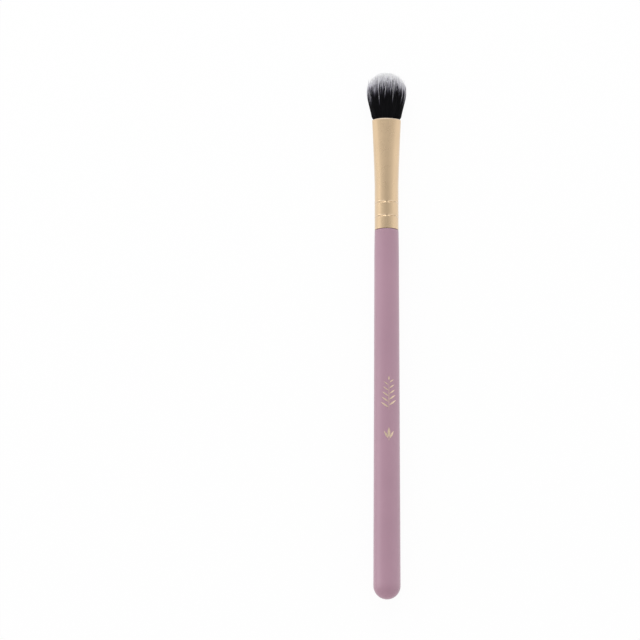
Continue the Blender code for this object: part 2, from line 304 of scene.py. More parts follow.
class EdgeBand(ShaderGroup):
    """A band across the brush, broken up by noise: Mask is 1 at Centre and falls to 0 at Reach from it."""

    def __init__(self) -> None:
        """Build the group's nodes."""
        super().__init__("edge_band", ("Centre", "Reach", "Break Up"), ("Mask",))
        along = self.add("SeparateXYZ", {0: self.source["Place"]}).outputs["Y"]
        away = self.math("ABSOLUTE", self.math("SUBTRACT", along, self.source["Centre"]))
        band = self.math("SUBTRACT", 1.0, self.math("DIVIDE", away, self.source["Reach"]), clamp=True)
        specks = self.noise(self.source["Place"], scale=1400.0, detail=4.0)
        hole = self.math("MULTIPLY", specks, self.source["Break Up"])
        self.give("Mask", self.math("SUBTRACT", band, hole, clamp=True))


@dataclass(frozen=True)
class Groups:
    """The node groups that the finishes share."""

    mottle: Mottle
    band: EdgeBand


class Finish(NodeTree):
    """A material with one Principled BSDF, which each finish below feeds in its own way."""

    name: str
    rough: float = 0.5
    metallic: float = 0.0
    shine: float = 0.5
    coat: float = 0.0
    coat_rough: float = 0.03

    def __init__(self, groups: Groups) -> None:
        """Make the material.

        Args:
            groups: The shared node groups.
        """
        self.material = bpy.data.materials.new(self.name)
        self.material.use_nodes = True
        super().__init__(self.material.node_tree)
        self.groups = groups
        self.place = self.add("TexCoord").outputs["Object"]
        self.shader = self.tree.nodes["Principled BSDF"].inputs
        values = {"Roughness": self.rough, "Metallic": self.metallic, "Specular IOR Level": self.shine}
        values |= {"Coat Weight": self.coat, "Coat Roughness": self.coat_rough}
        for label, value in values.items():
            self.shader[label].default_value = value
        self.paint()

    def paint(self) -> None:
        """Feed the shader."""
        raise NotImplementedError

    def feed(self, label: str, value: Socket) -> None:
        """Feed an input of the shader."""
        self.tree.links.new(value, self.shader[label])

    def tint(self, colour: Colour | Socket, tone: Socket) -> None:
        """Feed the base colour, made lighter and darker by a tone."""
        grey = self.add("CombineColor", dict.fromkeys(range(3), tone)).outputs[0]
        self.feed("Base Color", self.blend(1.0, colour, grey, "MULTIPLY"))

    def wear(self, mask: Socket, least: float, most: float) -> None:
        """Feed the roughness, between two values by a mask."""
        self.feed("Roughness", self.ranged(mask, start=least, end=most))

    def relief(self, height: Socket, distance: float) -> None:
        """Feed the normal from a height of 0 to 1, where 1 stands for a distance."""
        bump = self.add("Bump", {"Height": height, "Distance": distance})
        self.feed("Normal", bump.outputs["Normal"])

    def mottle(self, scale: float, amount: float = 0.0) -> bpy.types.bpy_prop_collection:
        """Place the shared mottle and return its outputs."""
        return self.groups.mottle.use(self, {"Place": self.place, "Scale": scale, "Amount": amount})

    def band(self, centre: float, reach: float, break_up: float) -> Socket:
        """Place the shared band, so far from the seam, and return its mask."""
        inputs = {"Place": self.place, "Centre": AXIS.seam + centre, "Reach": reach, "Break Up": break_up}
        return self.groups.band.use(self, inputs)["Mask"]

    def grain(self, scale: float, along: float = 1.0, detail: float = 2.0) -> Socket:
        """Noise that is drawn out along the brush where along is under 1."""
        mapping = {"Vector": self.place, "Scale": (1.0, along, 1.0)}
        return self.noise(self.add("Mapping", mapping).outputs["Vector"], scale, detail)

    def stored(self, name: str) -> Socket:
        """The number that the mesh's points hold under this name."""
        return self.add("Attribute", attribute_name=name).outputs["Fac"]


class SatinLacquer(Finish):
    """Satin lacquer over turned wood, with a faint orange peel, and painted shade darkening its butt end."""

    name = "satin_rose_lacquer"
    rough = 0.40
    shine = 0.45
    coat = 0.5
    coat_rough = 0.3
    rose: Colour = (0.425, 0.248, 0.320)
    butt_shade: Colour = (0.360, 0.180, 0.248)
    butt: float = -114.0 * MM

    def paint(self) -> None:
        """Feed the shader."""
        # Painted shade: a darker lacquer colour in a band at the butt end, where less light falls.
        butt_shade_mask = self.band(self.butt, reach=5.0 * MM, break_up=0.15)
        tone = self.mottle(scale=90.0, amount=0.05)["Tone"]
        self.tint(self.blend(butt_shade_mask, self.rose, self.butt_shade), tone)
        self.wear(self.mottle(scale=700.0)["Mask"], least=0.36, most=0.44)
        peel = self.grain(scale=2600.0, detail=1.0)
        sanding = self.grain(scale=3500.0, along=0.04)
        self.relief(self.math("MULTIPLY_ADD", sanding, 0.35, peel), distance=0.006 * MM)


class SatinAnodising(Finish):
    """Satin champagne anodising on a drawn tube, with painted highlights at its lip and on its crimps'
    tuft-side walls, painted shade on their other walls and at the seam, and darker at the joints between
    jaws.
    """

    name = "champagne_anodising"
    rough = 0.34
    metallic = 1.0
    coat = 0.8
    coat_rough = 0.2
    champagne: Colour = (0.745, 0.550, 0.345)
    painted_highlight: Colour = (0.930, 0.820, 0.720)
    dark_tint: Colour = (0.430, 0.310, 0.200)
    lip: float = 35.5 * MM

    def paint(self) -> None:
        """Feed the shader."""
        # Painted highlight: a pale band at the rolled lip, where its round edge would catch the light.
        lip = self.band(self.lip, reach=0.45 * MM, break_up=0.4)
        tint = self.blend(lip, self.champagne, self.painted_highlight)
        # Painted highlight on each crimp's wall towards the tuft, and painted shade on its wall towards the
        # handle.
        wall = self.stored("crimp_wall")
        tint = self.blend(self.ranged(wall, low=0.2, end=0.15), tint, self.painted_highlight)
        tint = self.blend(self.ranged(wall, low=-0.2, high=-1.0, end=0.55), tint, self.dark_tint)
        # Darker where the groove runs over a joint between two jaws.
        joint = self.stored("crimp_joint")
        tint = self.blend(self.ranged(joint, low=0.3, end=0.8), tint, self.dark_tint)
        # Painted shade: a thin dark line at the seam, where the ferrule's end shades the gap.
        tint = self.blend(self.band(0.0, reach=0.1 * MM, break_up=0.5), tint, self.dark_tint)
        self.tint(tint, self.mottle(scale=160.0, amount=0.04)["Tone"])
        drawn = self.grain(scale=9000.0, along=0.015, detail=3.0)
        handled = self.ranged(self.mottle(scale=260.0)["Mask"], start=0.22, end=0.28)
        self.feed("Roughness", self.math("MULTIPLY_ADD", drawn, 0.08, handled))
        self.relief(drawn, distance=0.0015 * MM)


class TwoToneFilament(Finish):
    """Synthetic filament, dyed black to its own dye line and bleached pale above it."""

    name = "two_tone_filament"
    rough = 0.55
    shine = 0.12
    root: Colour = (0.0040, 0.0038, 0.0050)
    smoke: Colour = (0.150, 0.140, 0.185)
    pale: Colour = (0.810, 0.800, 0.870)
    tip: Colour = (0.950, 0.950, 0.955)

    def paint(self) -> None:
        """Feed the shader."""
        streak = self.math("SUBTRACT", self.grain(scale=2500.0, along=0.25), 0.5)
        ragged = self.math("MULTIPLY_ADD", streak, 1.2 * MM, self.stored("above_dye_line"))
        height = self.ranged(ragged, low=-1.6 * MM, high=4.0 * MM)
        ramp = self.add("ValToRGB", {"Fac": height})
        steps = ((0.0, self.root), (0.14, self.root), (0.34, self.smoke), (0.60, self.pale), (1.0, self.tip))
        elements = ramp.color_ramp.elements
        while len(elements) < len(steps):
            elements.new(0.5)
        for element, (position, colour) in zip(elements, steps):
            element.position = position
            element.color = (*colour, 1.0)
        self.tint(ramp.outputs["Color"], self.ranged(self.stored("strand_tone"), start=0.90, end=1.06))
        self.wear(height, least=0.50, most=0.68)


class PackedRoots(Finish):
    """The black rear ends of the filaments, packed tight."""

    name = "packed_roots"
    rough = 0.6
    shine = 0.12
    black: Colour = (0.0045, 0.0042, 0.0055)

    def paint(self) -> None:
        """Feed the shader."""
        self.tint(self.black, self.mottle(scale=900.0, amount=0.6)["Tone"])
        self.relief(self.grain(scale=9000.0, along=0.05), distance=0.04 * MM)


class HotFoil(Finish):
    """Gold foil stamped on the lacquer, worn thin in places."""

    name = "stamped_gold_foil"
    rough = 0.30
    metallic = 1.0
    gold: Colour = (0.900, 0.720, 0.520)
    thin: Colour = (0.680, 0.480, 0.420)

    def paint(self) -> None:
        """Feed the shader."""
        worn = self.mottle(scale=1800.0)["Mask"]
        self.feed("Base Color", self.blend(self.ranged(worn, low=0.6, end=0.8), self.gold, self.thin))
        self.wear(worn, least=0.24, most=0.42)
        self.relief(self.grain(scale=5000.0), distance=0.002 * MM)


class TwistedCotton(Finish):
    """Undyed cotton thread, with its twist in the relief."""

    name = "twisted_cotton"
    rough = 0.85
    shine = 0.2
    light: Colour = (0.740, 0.700, 0.610)
    dark: Colour = (0.520, 0.470, 0.380)

    def paint(self) -> None:
        """Feed the shader."""
        turned = {"Vector": self.place, "Rotation": (0.6, 0.0, 0.6)}
        slant = self.add("Mapping", turned).outputs["Vector"]
        waves = {"Vector": slant, "Scale": 2200.0, "Distortion": 1.5}
        twist = self.add("TexWave", waves).outputs[1]
        self.feed("Base Color", self.blend(twist, self.dark, self.light))
        self.wear(self.mottle(scale=2500.0)["Mask"], least=0.78, most=0.92)
        self.relief(twist, distance=0.05 * MM)


class CastResin(Finish):
    """Amber resin with clouded places and small bubbles."""

    name = "cast_amber_resin"
    rough = 0.2
    clear: Colour = (0.620, 0.440, 0.200)
    cloudy: Colour = (0.740, 0.620, 0.400)

    def paint(self) -> None:
        """Feed the shader."""
        cloud = self.mottle(scale=500.0)["Mask"]
        self.feed("Base Color", self.blend(cloud, self.clear, self.cloudy))
        self.wear(cloud, least=0.12, most=0.3)
        cells = self.add("TexVoronoi", {"Vector": self.place, "Scale": 2500.0})
        self.relief(self.ranged(cells.outputs["Distance"], high=0.22), distance=0.03 * MM)


class DriedGlue(Finish):
    """Cream-coloured wood glue, dried in ripples."""

    name = "dried_wood_glue"
    thick: Colour = (0.780, 0.720, 0.560)
    thin: Colour = (0.640, 0.560, 0.420)

    def paint(self) -> None:
        """Feed the shader."""
        cloud = self.mottle(scale=700.0)["Mask"]
        self.feed("Base Color", self.blend(cloud, self.thin, self.thick))
        self.wear(cloud, least=0.35, most=0.6)
        self.relief(self.grain(scale=900.0, along=3.0, detail=3.0), distance=0.04 * MM)


@dataclass(frozen=True)
class Crimps:
    """The rows of marks that a ring of jaws pressed into the ferrule and the tenon under it.

    The shoulder is the metal pushed up beside a row, and its place and spread are in half widths of the row.
    The joint is the arc that the tube keeps between two jaws.
    """

    places: Row = (4.1 * MM, 8.5 * MM)
    width: float = 0.8 * MM
    depth: float = 0.2 * MM
    shoulder: float = 0.015 * MM
    shoulder_place: float = 1.2
    shoulder_spread: float = 0.35
    jaws: int = 8
    joint: float = 0.42 * MM
    ring_reach: float = 1.8
    ring_count: int = 25

    def marks(self, along: Points, angle: Points, radius: float) -> tuple[Points, Points, Points]:
        """What the jaws did to a tube.

        Args:
            along: Distances from the seam.
            angle: Angles round the axis.
            radius: The tube's radius.

        Returns:
            How far the surface is pressed in, the marks' walls (from 1 on the one towards the tuft to -1 on
            the other) and the joints between two jaws.
        """
        pitch = math.tau / self.jaws
        off_joint = np.abs((angle / pitch + 0.5) % 1.0 - 0.5) * pitch * radius
        pressed = 1.0 - np.exp(-((off_joint / self.joint) ** 2))
        dip = wall = joint = 0.0
        for place in self.places:
            reach = (along - place) / (self.width / 2)
            ridge = np.exp(-(((np.abs(reach) - self.shoulder_place) / self.shoulder_spread) ** 2))
            reach = np.clip(reach, -1.0, 1.0)
            groove = (1.0 + np.cos(np.pi * reach)) / 2
            dip = dip + pressed * (self.depth * groove - self.shoulder * ridge)
            wall = wall + pressed * np.sin(np.pi * reach)
            joint = joint + (1.0 - pressed) * groove
        return dip, wall, joint

    def rings(self) -> Points:
        """Places along the brush that catch the marks' form."""
        steps = np.linspace(-self.ring_reach, self.ring_reach, self.ring_count) * self.width / 2
        return np.concatenate([place + steps for place in self.places])


CRIMPS = Crimps()


@dataclass(frozen=True)
class Handle:
    """The turned handle: a long taper that swells from the ferrule to a round butt, and its hidden tenon."""

    length: float = 114.0 * MM
    butt_radius: float = 4.1 * MM
    neck_radius: float = 3.82 * MM
    neck_length: float = 10.0 * MM
    tube_radius: float = 3.72 * MM
    seam_gap: float = 0.12 * MM
    shoulder_round: float = 0.2 * MM
    tenon_radius: float = 3.12 * MM
    tenon_length: float = 13.5 * MM
    tenon_chamfer: float = 0.6 * MM
    tenon_start: float = 0.2 * MM
    taper_start: float = -12.0 * MM
    around: int = 144

    @property
    def taper_end(self) -> float:
        """Where the round butt starts."""
        return self.butt_radius - self.length

    def body_radius(self, along: Points) -> Points:
        """Radius of the handle between its shoulder and its butt.

        Args:
            along: Distances from the seam.

        Returns:
            The radius at each of them.
        """
        way = np.clip(-along / self.neck_length, 0.0, 1.0)
        neck = self.tube_radius + np.sin(np.pi / 2 * way) * (self.neck_radius - self.tube_radius)
        taper = np.clip((-self.neck_length - along) / (-self.neck_length - self.taper_end), 0.0, 1.0)
        return neck + taper * (self.butt_radius - self.neck_radius)

    def outline(self) -> Points:
        """Lay out the turned outline.

        Returns:
            Rows of (radius, along), from the tenon's tip to the butt.
        """
        tip = [(0.0, self.tenon_length), (self.tenon_radius - self.tenon_chamfer, self.tenon_length)]
        plain = np.linspace(self.tenon_start, self.tenon_length - self.tenon_chamfer, num=12)
        tenon = [(self.tenon_radius, along) for along in np.union1d(plain, CRIMPS.rings())[::-1]]
        tenon.append((self.tenon_radius, -self.seam_gap))
        edge = (self.tube_radius - self.shoulder_round, -self.seam_gap - self.shoulder_round)
        shoulder = quarter(self.shoulder_round, count=9)[::-1] + edge
        neck = np.linspace(edge[1], -self.neck_length, num=16)[1:]
        along = np.concatenate([neck, np.linspace(self.taper_start, self.taper_end, num=60)])
        body = np.stack([self.body_radius(along), along], axis=-1)
        butt = quarter(self.butt_radius, count=25)[1:] * (1.0, -1.0) + (0.0, self.taper_end)
        return np.concatenate([tip, tenon, shoulder, body, butt])

    def build(self, material: Material) -> None:
        """Build the handle.

        Args:
            material: Its lacquer.
        """
        outline = self.outline()
        radius, along = outline[1:-1, :1], outline[1:-1, 1:]
        angle = angles(self.around)
        dip, _, _ = CRIMPS.marks(along, angle, self.tenon_radius)
        radius = radius - np.where(along > 0.0, dip, 0.0)
        rings = AXIS.rings(radius, radius, along, angle)
        tips = AXIS.rings(0.0, 0.0, outline[[0, -1], 1], np.zeros(2))
        mesh = capped_mesh("lacquered_handle", rings, tips, self.around)
        add_piece(mesh, material, Slot.LACQUER, "handle")


@dataclass(frozen=True)
class Ferrule:
    """The drawn tube: round where it grips the tenon, crimped there, and pressed oval to its rolled lip."""

    length: float = 35.5 * MM
    radius: float = 3.72 * MM
    wall: float = 0.35 * MM
    mouth: Span = (4.525 * MM, 2.8 * MM)
    round_length: float = 13.5 * MM
    press_exponent: float = 1.3
    rear_round: float = 0.12 * MM
    lip_round: float = 0.2 * MM
    lip_chamfer: float = 0.06 * MM
    plain_margin: float = 0.3 * MM
    around: int = 192

    def half_axes(self, along: Points) -> tuple[Points, Points]:
        """Half width and half depth of the tube's outside."""
        way = np.clip((along - self.round_length) / (self.length - self.round_length), 0.0, 1.0)
        return tuple(self.radius + way**self.press_exponent * (half - self.radius) for half in self.mouth)

    def outline(self) -> Points:
        """Lay out the wall's closed outline.

        Returns:
            Rows of (distance inside the outer surface, along).
        """
        rear = self.rear_round - quarter(self.rear_round, count=7)[:, ::-1]
        plain = np.linspace(self.plain_margin, self.length - self.plain_margin, num=70)
        body = np.union1d(plain, CRIMPS.rings())
        outside = np.stack([0 * body, body], axis=-1)
        lip = quarter(self.lip_round, count=9) * (-1.0, 1.0) + (self.lip_round, self.length - self.lip_round)
        chamfer = [(self.wall - self.lip_chamfer, self.length), (self.wall, self.length - self.lip_chamfer)]
        inside = outside[::-1] + (self.wall, 0.0)
        return np.concatenate([rear, outside, lip, chamfer, inside, [(self.wall, 0.0)]])

    def build(self, material: Material) -> None:
        """Build the ferrule.

        Args:
            material: Its anodised finish.
        """
        outline = self.outline()
        inset, along = outline[:, :1], outline[:, 1:]
        angle = angles(self.around)
        wide, deep = self.half_axes(along)
        dip, wall, joint = CRIMPS.marks(along, angle, self.radius)
        points = AXIS.rings(wide - inset - dip, deep - inset - dip, along, angle)
        faces = ring_faces(len(outline), self.around, closed=True)[:, ::-1]
        mesh = new_mesh("crimped_ferrule", points, [faces], crimp_wall=wall, crimp_joint=joint)
        add_piece(mesh, material, Slot.ALUMINIUM, "ferrule")


@dataclass(frozen=True)
class PackedKnot:
    """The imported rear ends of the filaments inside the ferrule, drawn in under their thread."""

    ferrule: Ferrule
    front: float = 35.2 * MM
    rear: float = 24.5 * MM
    clearance: float = 0.5 * MM
    waist: float = 0.85 * MM
    waist_span: Span = (26.05 * MM, 27.35 * MM)
    around: int = 96

    def build(self, material: Material) -> None:
        """Build the knot.

        Args:
            material: Its packed roots.
        """
        low, high = self.waist_span
        slope = self.waist - self.clearance
        along = np.array([self.front, high + slope, high, low, low - slope, self.rear])[:, None]
        inset = np.array([self.clearance, self.waist, self.clearance]).repeat(2)[:, None]
        wide, deep = self.ferrule.half_axes(along)
        rings = AXIS.rings(wide - inset, deep - inset, along, angles(self.around))
        tips = AXIS.rings(0.0, 0.0, along[[0, -1], 0], np.zeros(2))
        mesh = capped_mesh("packed_knot", rings, tips, self.around)
        add_piece(mesh, material, Slot.FILAMENT, "bristle_tuft")


@dataclass(frozen=True)
class Tuft:
    """The filaments that stand out of the ferrule: a flared, domed tuft of locks with a ragged dye line.

    Lengths are in millimetres, apart from the mouth's place, and heights start at the mouth. The half widths
    and half depths stretch a unit disc of roots. The rows of thinning are shares of a strand's length and of
    its thickness there. Tip spread, dye spread and lean are given for locks and for single strands, and dye
    drop for the wide and the deep ends. What bends the strands grows up to the full height.
    """

    mouth: float = 35.5 * MM
    heights: Row = (-2.5, 0.0, 0.5, 1.1, 2.2, 4.2, 6.1, 7.3, 8.7, 10.1, 11.8, 13.8, 16.8)
    half_widths: Row = (3.80, 3.98, 4.40, 4.64, 4.84, 5.30, 5.74, 5.92, 5.98, 5.95, 5.72, 5.28, 4.60)
    half_depths: Row = (2.35, 2.25, 2.72, 2.96, 3.12, 3.48, 3.84, 3.98, 4.04, 4.00, 3.80, 3.42, 2.90)
    shoulder_height: float = 10.2
    dome_height: float = 5.2
    dome_exponent: float = 2.4
    dye_height: float = 9.8
    dye_drop: Span = (1.7, 0.2)
    strands: int = 9000
    locks: int = 3000
    strays: int = 110
    thickness: float = 0.052
    thinning: tuple[Row, Row] = ((0.0, 0.2, 0.5, 0.8, 0.93, 1.0), (0.8, 0.8, 1.1, 1.2, 0.9, 0.1))
    shares: Row = (0.0, 0.13, 0.19, 0.27, 0.38, 0.49, 0.60, 0.71, 0.81, 0.90, 0.96)
    lock_pull: Span = (0.15, 0.50)
    lock_part: float = 0.3
    tip_spread: Span = (0.2, 0.30)
    dye_spread: Span = (0.5, 1.15)
    lean: Span = (0.022, 0.03)
    full_height: float = 13.0
    pull_exponent: float = 1.6
    lock_mix: float = 0.012
    thickness_spread: Span = (0.8, 1.15)
    wave: float = 0.045
    wave_pace: Span = (1.1, 1.9)
    wave_start: Span = (0.0, 6.3)
    stray_span: Span = (3.0, 14.0)
    stray_reach: Span = (0.15, 0.85)
    stray_turn: float = 0.35
    floor_gap: float = 0.03
    rng: np.random.Generator = field(default_factory=lambda: np.random.default_rng(seed=10))

    def disc(self, count: int, spread: float) -> Points:
        """Even places in the unit disc.

        Args:
            count: How many places.
            spread: How far each is moved at random, in even spacings.

        Returns:
            One place a row.
        """
        number = np.arange(count) + 0.5
        radius = np.sqrt(number / count)
        angle = number * math.pi * (3.0 - math.sqrt(5.0))
        places = np.stack([radius * np.cos(angle), radius * np.sin(angle)], axis=-1)
        places += self.rng.normal(0.0, spread / math.sqrt(count), places.shape)
        length = np.linalg.norm(places, axis=1, keepdims=True)
        return places / np.maximum(length, 1.0)

    def tip_height(self, places: Points) -> Points:
        """How high the dome stands over places in the unit disc."""
        inside = 1.0 - np.clip(np.linalg.norm(places, axis=1), 0.0, 1.0) ** self.dome_exponent
        return self.shoulder_height + self.dome_height * inside ** (1.0 / self.dome_exponent)

    def dye_line(self, places: Points) -> Points:
        """How high the dye reaches over places in the unit disc."""
        wide, deep = self.dye_drop
        return self.dye_height - wide * places[:, 0] ** 2 - deep * np.abs(places[:, 1])

    def some(self, share: float, least: float, most: float) -> Points:
        """A random amount for a share of the strands, and 0 for the others."""
        chosen = self.rng.random(self.strands) < share
        return np.where(chosen, self.rng.uniform(least, most, self.strands), 0.0)

    def strand_paths(self) -> tuple[Points, Points, Points]:
        """Lay out all the strands.

        Returns:
            For each strand its points (across, height, up), its dye line and its radii along it.
        """
        rng, each = self.rng, (self.strands, 1)
        roots = self.disc(self.strands, spread=0.35)
        centres = self.disc(self.locks, spread=0.9)
        apart = np.hypot(roots[:, :1] - centres[:, 0], roots[:, 1:] - centres[:, 1])
        lock = np.argmin(apart + rng.normal(0.0, self.lock_mix, apart.shape), axis=1)
        mixed = (1.0 - self.lock_part) * roots + self.lock_part * centres[lock]
        tips = self.tip_height(mixed) + rng.normal(0.0, self.tip_spread[0], self.locks)[lock]
        tips -= np.abs(rng.normal(0.0, self.tip_spread[1], self.strands))
        tips += self.some(share=0.05, least=0.1, most=0.4)
        dye = self.dye_line(roots) + rng.normal(0.0, self.dye_spread[0], self.locks)[lock]
        dye += rng.normal(0.0, self.dye_spread[1], self.strands)
        side = np.abs(roots[:, 0])
        dye -= self.some(share=0.08, least=1.0, most=5.0) * (0.5 + 0.5 * side)
        dye += self.some(share=0.10, least=1.0, most=4.5) * (1.1 - 0.4 * side)
        share = np.array(self.shares + (1.0,))[None, :]
        height = self.heights[0] + share * (tips[:, None] - self.heights[0])
        risen = np.clip(height / self.full_height, 0.0, 1.2)
        pull = rng.uniform(*self.lock_pull, self.locks)[lock][:, None] * risen**self.pull_exponent
        lean = rng.normal(0.0, self.lean[0], (self.locks, 2))[lock]
        lean = lean + rng.normal(0.0, self.lean[1], (self.strands, 2))
        unit = roots[:, None, :] + pull[:, :, None] * (centres[lock] - roots)[:, None, :]
        unit = unit + lean[:, None, :] * (risen**2)[:, :, None]
        pace, start = rng.uniform(*self.wave_pace, each), rng.uniform(*self.wave_start, each)
        wave = self.wave * risen * np.sin(height * pace + start)
        turn = rng.uniform(0.0, math.tau, each)
        across = unit[:, :, 0] * np.interp(height, self.heights, self.half_widths) + wave * np.cos(turn)
        up = unit[:, :, 1] * np.interp(height, self.heights, self.half_depths) + wave * np.sin(turn)
        thickness = self.thickness * np.interp(share, *self.thinning)
        radii = thickness * rng.uniform(*self.thickness_spread, each)
        return np.stack([across, height, up], axis=-1), dye, radii

    def splay(self, paths: Points) -> Points:
        """Bend strands outwards into strays.

        Args:
            paths: The strands' points.

        Returns:
            The bent points.
        """
        low, high = self.stray_span
        level = paths[:, :, [0, 2]]
        risen = np.clip((paths[:, :, 1] - low) / (high - low), 0.0, 1.0) ** 2
        out = level / np.maximum(np.linalg.norm(level[:, -1:], axis=2, keepdims=True), 0.5)
        reach = self.rng.uniform(*self.stray_reach, (len(paths), 1, 1))
        side = self.rng.normal(0.0, self.stray_turn, (len(paths), 1, 2))
        moved = paths.copy()
        moved[:, :, [0, 2]] += risen[:, :, None] * (out * reach + side)
        return moved

    def strand_mesh(self, name: str, paths: Points, dye: Points, radii: Points) -> Mesh:
        """Build three-sided strands along paths.

        Args:
            name: The mesh's name.
            paths: Each strand's points.
            dye: Each strand's dye line.
            radii: Each strand's radius at its points.

        Returns:
            The mesh, with each vert's height above the dye line and each strand's tone.
        """
        count, rings = len(paths), len(self.shares)
        corner = self.rng.uniform(0.0, math.tau, (count, 1, 1)) + angles(3)
        body = paths[:, :rings, None, :]
        across = body[..., 0] + radii[:, :rings, None] * np.cos(corner)
        up = body[..., 2] + radii[:, :rings, None] * np.sin(corner)
        sides = np.stack([across, body[..., 1] + 0 * corner, up], axis=-1).reshape(count, rings * 3, 3)
        local = np.concatenate([sides, paths[:, -1:, :]], axis=1)
        local[..., 2] = np.maximum(local[..., 2], self.floor_gap - AXIS.height / MM)
        points = AXIS.place(local[..., 0] * MM, local[..., 1] * MM + self.mouth, local[..., 2] * MM)
        tip, last = rings * 3, (rings - 1) * 3
        start = (np.arange(count) * (tip + 1))[:, None, None]
        ends = [[0, 1, 2], [last + 1, last, tip], [last + 2, last + 1, tip], [last, last + 2, tip]]
        faces = [(start + ring_faces(rings, 3)).reshape(-1, 4), (start + np.array(ends)).reshape(-1, 3)]
        above = (local[..., 1] - dye[:, None]) * MM
        tone = np.repeat(self.rng.random(count), tip + 1)
        return new_mesh(name, points, faces, above_dye_line=above, strand_tone=tone)

    def build(self, material: Material) -> None:
        """Build the tuft as rings of filaments, from the middle outwards, and a few strays.

        Args:
            material: The filaments' finish.
        """
        paths, dye, radii = self.strand_paths()
        strays = self.rng.choice(self.strands // 2, self.strays, replace=False) + self.strands // 2
        kept = np.setdiff1d(np.arange(self.strands), strays)
        third = len(kept) // 3 + 1
        for number, name in enumerate(("inner_filaments", "middle_filaments", "outer_filaments")):
            chosen = kept[number * third : (number + 1) * third]
            mesh = self.strand_mesh(name, paths[chosen], dye[chosen], radii[chosen])
            add_piece(mesh, material, Slot.FILAMENT, "bristle_tuft")
        bent = self.splay(paths[strays])
        mesh = self.strand_mesh("stray_filaments", bent, dye[strays], radii[strays])
        add_piece(mesh, material, Slot.FILAMENT, "bristle_tuft")


@dataclass(frozen=True)
class FoilSprig:
    """A plain leafy sprig and a small bud in foil, stamped along the handle and right of its top line.

    The stem stops and the top leaf starts short of the sprig's end. Where the first pair of leaves is, the
    step to the next and the right side's stagger are shares of the sprig's length. The row length is the
    distance between a long leaf's rows of points, and the sharpness is half the width of its tip.
    """

    handle: Handle
    start: float = -57.0 * MM
    end: float = -46.8 * MM
    bud: Span = (-66.5 * MM, -62.2 * MM)
    shift: float = 0.55 * MM
    leaf_length: float = 2.85 * MM
    leaf_width: float = 0.5 * MM
    leaf_foot: float = 0.13 * MM
    stem_width: float = 0.16 * MM
    stem_stop: float = 1.1 * MM
    top_foot: float = 1.0 * MM
    top_length: float = 1.3 * MM
    stalk: float = 1.0 * MM
    bud_foot: float = 1.15 * MM
    bud_width: float = 0.85 * MM
    petal_foot: Span = (0.22 * MM, 0.85 * MM)
    petal: Span = (2.6 * MM, 0.6 * MM)
    pairs: int = 5
    first: float = 0.08
    step: float = 0.17
    stagger: float = 0.07
    shrink: float = 0.09
    leaf_lean: float = 0.95
    petal_lean: float = 0.52
    fullness: float = 0.85
    row_length: float = 0.16 * MM
    sharpness: float = 0.012 * MM
    proud: float = 0.008 * MM
    sunk: float = 0.02 * MM

    def leaf(self, foot: Span, length: float, width: float, lean: float = 0.0) -> Points:
        """Lay out a leaf as rows of three points, from its foot to its tip.

        Args:
            foot: Where it starts, as (round the handle, along it).
            length: How long it is.
            width: How wide it is.
            lean: Its direction, as an angle from the stem's.

        Returns:
            The rows, with each point as (round, along).
        """
        rows = max(9, round(length / self.row_length))
        way = np.linspace(0.0, 1.0, rows)[:, None]
        half = np.maximum(width / 2 * np.sin(np.pi * way**self.fullness), self.sharpness)
        flat = np.stack([half * np.array([-1.0, 0.0, 1.0]), way * length + np.zeros(3)], axis=-1)
        turn = np.array([[math.cos(lean), math.sin(lean)], [-math.sin(lean), math.cos(lean)]])
        return flat @ turn.T + np.array(foot)

    def leaves(self) -> list[Points]:
        """Lay out the stem, its leaves and the bud.

        Returns:
            The rows of each.
        """
        length = self.end - self.start
        low, high = self.bud
        leaves = [
            self.leaf((0.0, self.start), length - self.stem_stop, self.stem_width),
            self.leaf((0.0, self.end - self.top_foot), self.top_length, self.leaf_width),
            self.leaf((0.0, low), self.stalk, self.stem_width),
            self.leaf((0.0, low + self.bud_foot), high - low - self.bud_foot, self.bud_width),
        ]
        for side in Side:
            away = side.value
            foot = (away * self.petal_foot[0], low + self.petal_foot[1])
            leaves.append(self.leaf(foot, *self.petal, away * self.petal_lean))
            for pair in range(self.pairs):
                share = self.first + self.step * pair + self.stagger * (side is Side.RIGHT)
                foot = (away * self.leaf_foot, self.start + share * length)
                size = np.array([self.leaf_length, self.leaf_width]) * (1.0 - self.shrink * pair)
                leaves.append(self.leaf(foot, *size, away * self.leaf_lean))
        return leaves

    def build(self, material: Material) -> None:
        """Build the foil on the handle's surface.

        Args:
            material: The foil.
        """
        points, sides, ends = [], [], []
        rise = np.array([self.proud] * 3 + [-self.sunk] * 3)
        corner = np.arange(len(rise))
        start = 0
        for leaf in self.leaves():
            loops = np.concatenate([leaf, leaf[:, ::-1]], axis=1)
            radius = self.handle.body_radius(loops[..., 1])
            angle = (loops[..., 0] + self.shift) / radius
            points.append(AXIS.rings(radius + rise, radius + rise, loops[..., 1], angle))
            sides.append(start + ring_faces(len(loops), len(rise))[:, ::-1])
            ends.append(start + np.stack([corner[::-1], (len(loops) - 1) * len(rise) + corner]))
            start += len(points[-1])
        faces = [np.concatenate(sides), np.concatenate(ends)]
        mesh = new_mesh("foil_sprig", np.concatenate(points), faces, smooth=False)
        add_piece(mesh, material, Slot.LACQUER)


class InnerParts:
    """The CAD pieces inside the ferrule, which keep their shapes."""

    def dress(self, groups: Groups) -> None:
        """Give each inner piece its finish.

        Args:
            groups: The shared node groups.
        """
        finishes = {
            "binding_thread": (TwistedCotton, Slot.THREAD),
            "resin_plug": (CastResin, Slot.RESIN),
            "tenon_glue": (DriedGlue, Slot.GLUE),
        }
        for name, (finish, slot) in finishes.items():
            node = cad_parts[name]
            node.data.materials.clear()
            node.data.materials.append(finish(groups).material)
            LOG.info("%s: dressed", name)


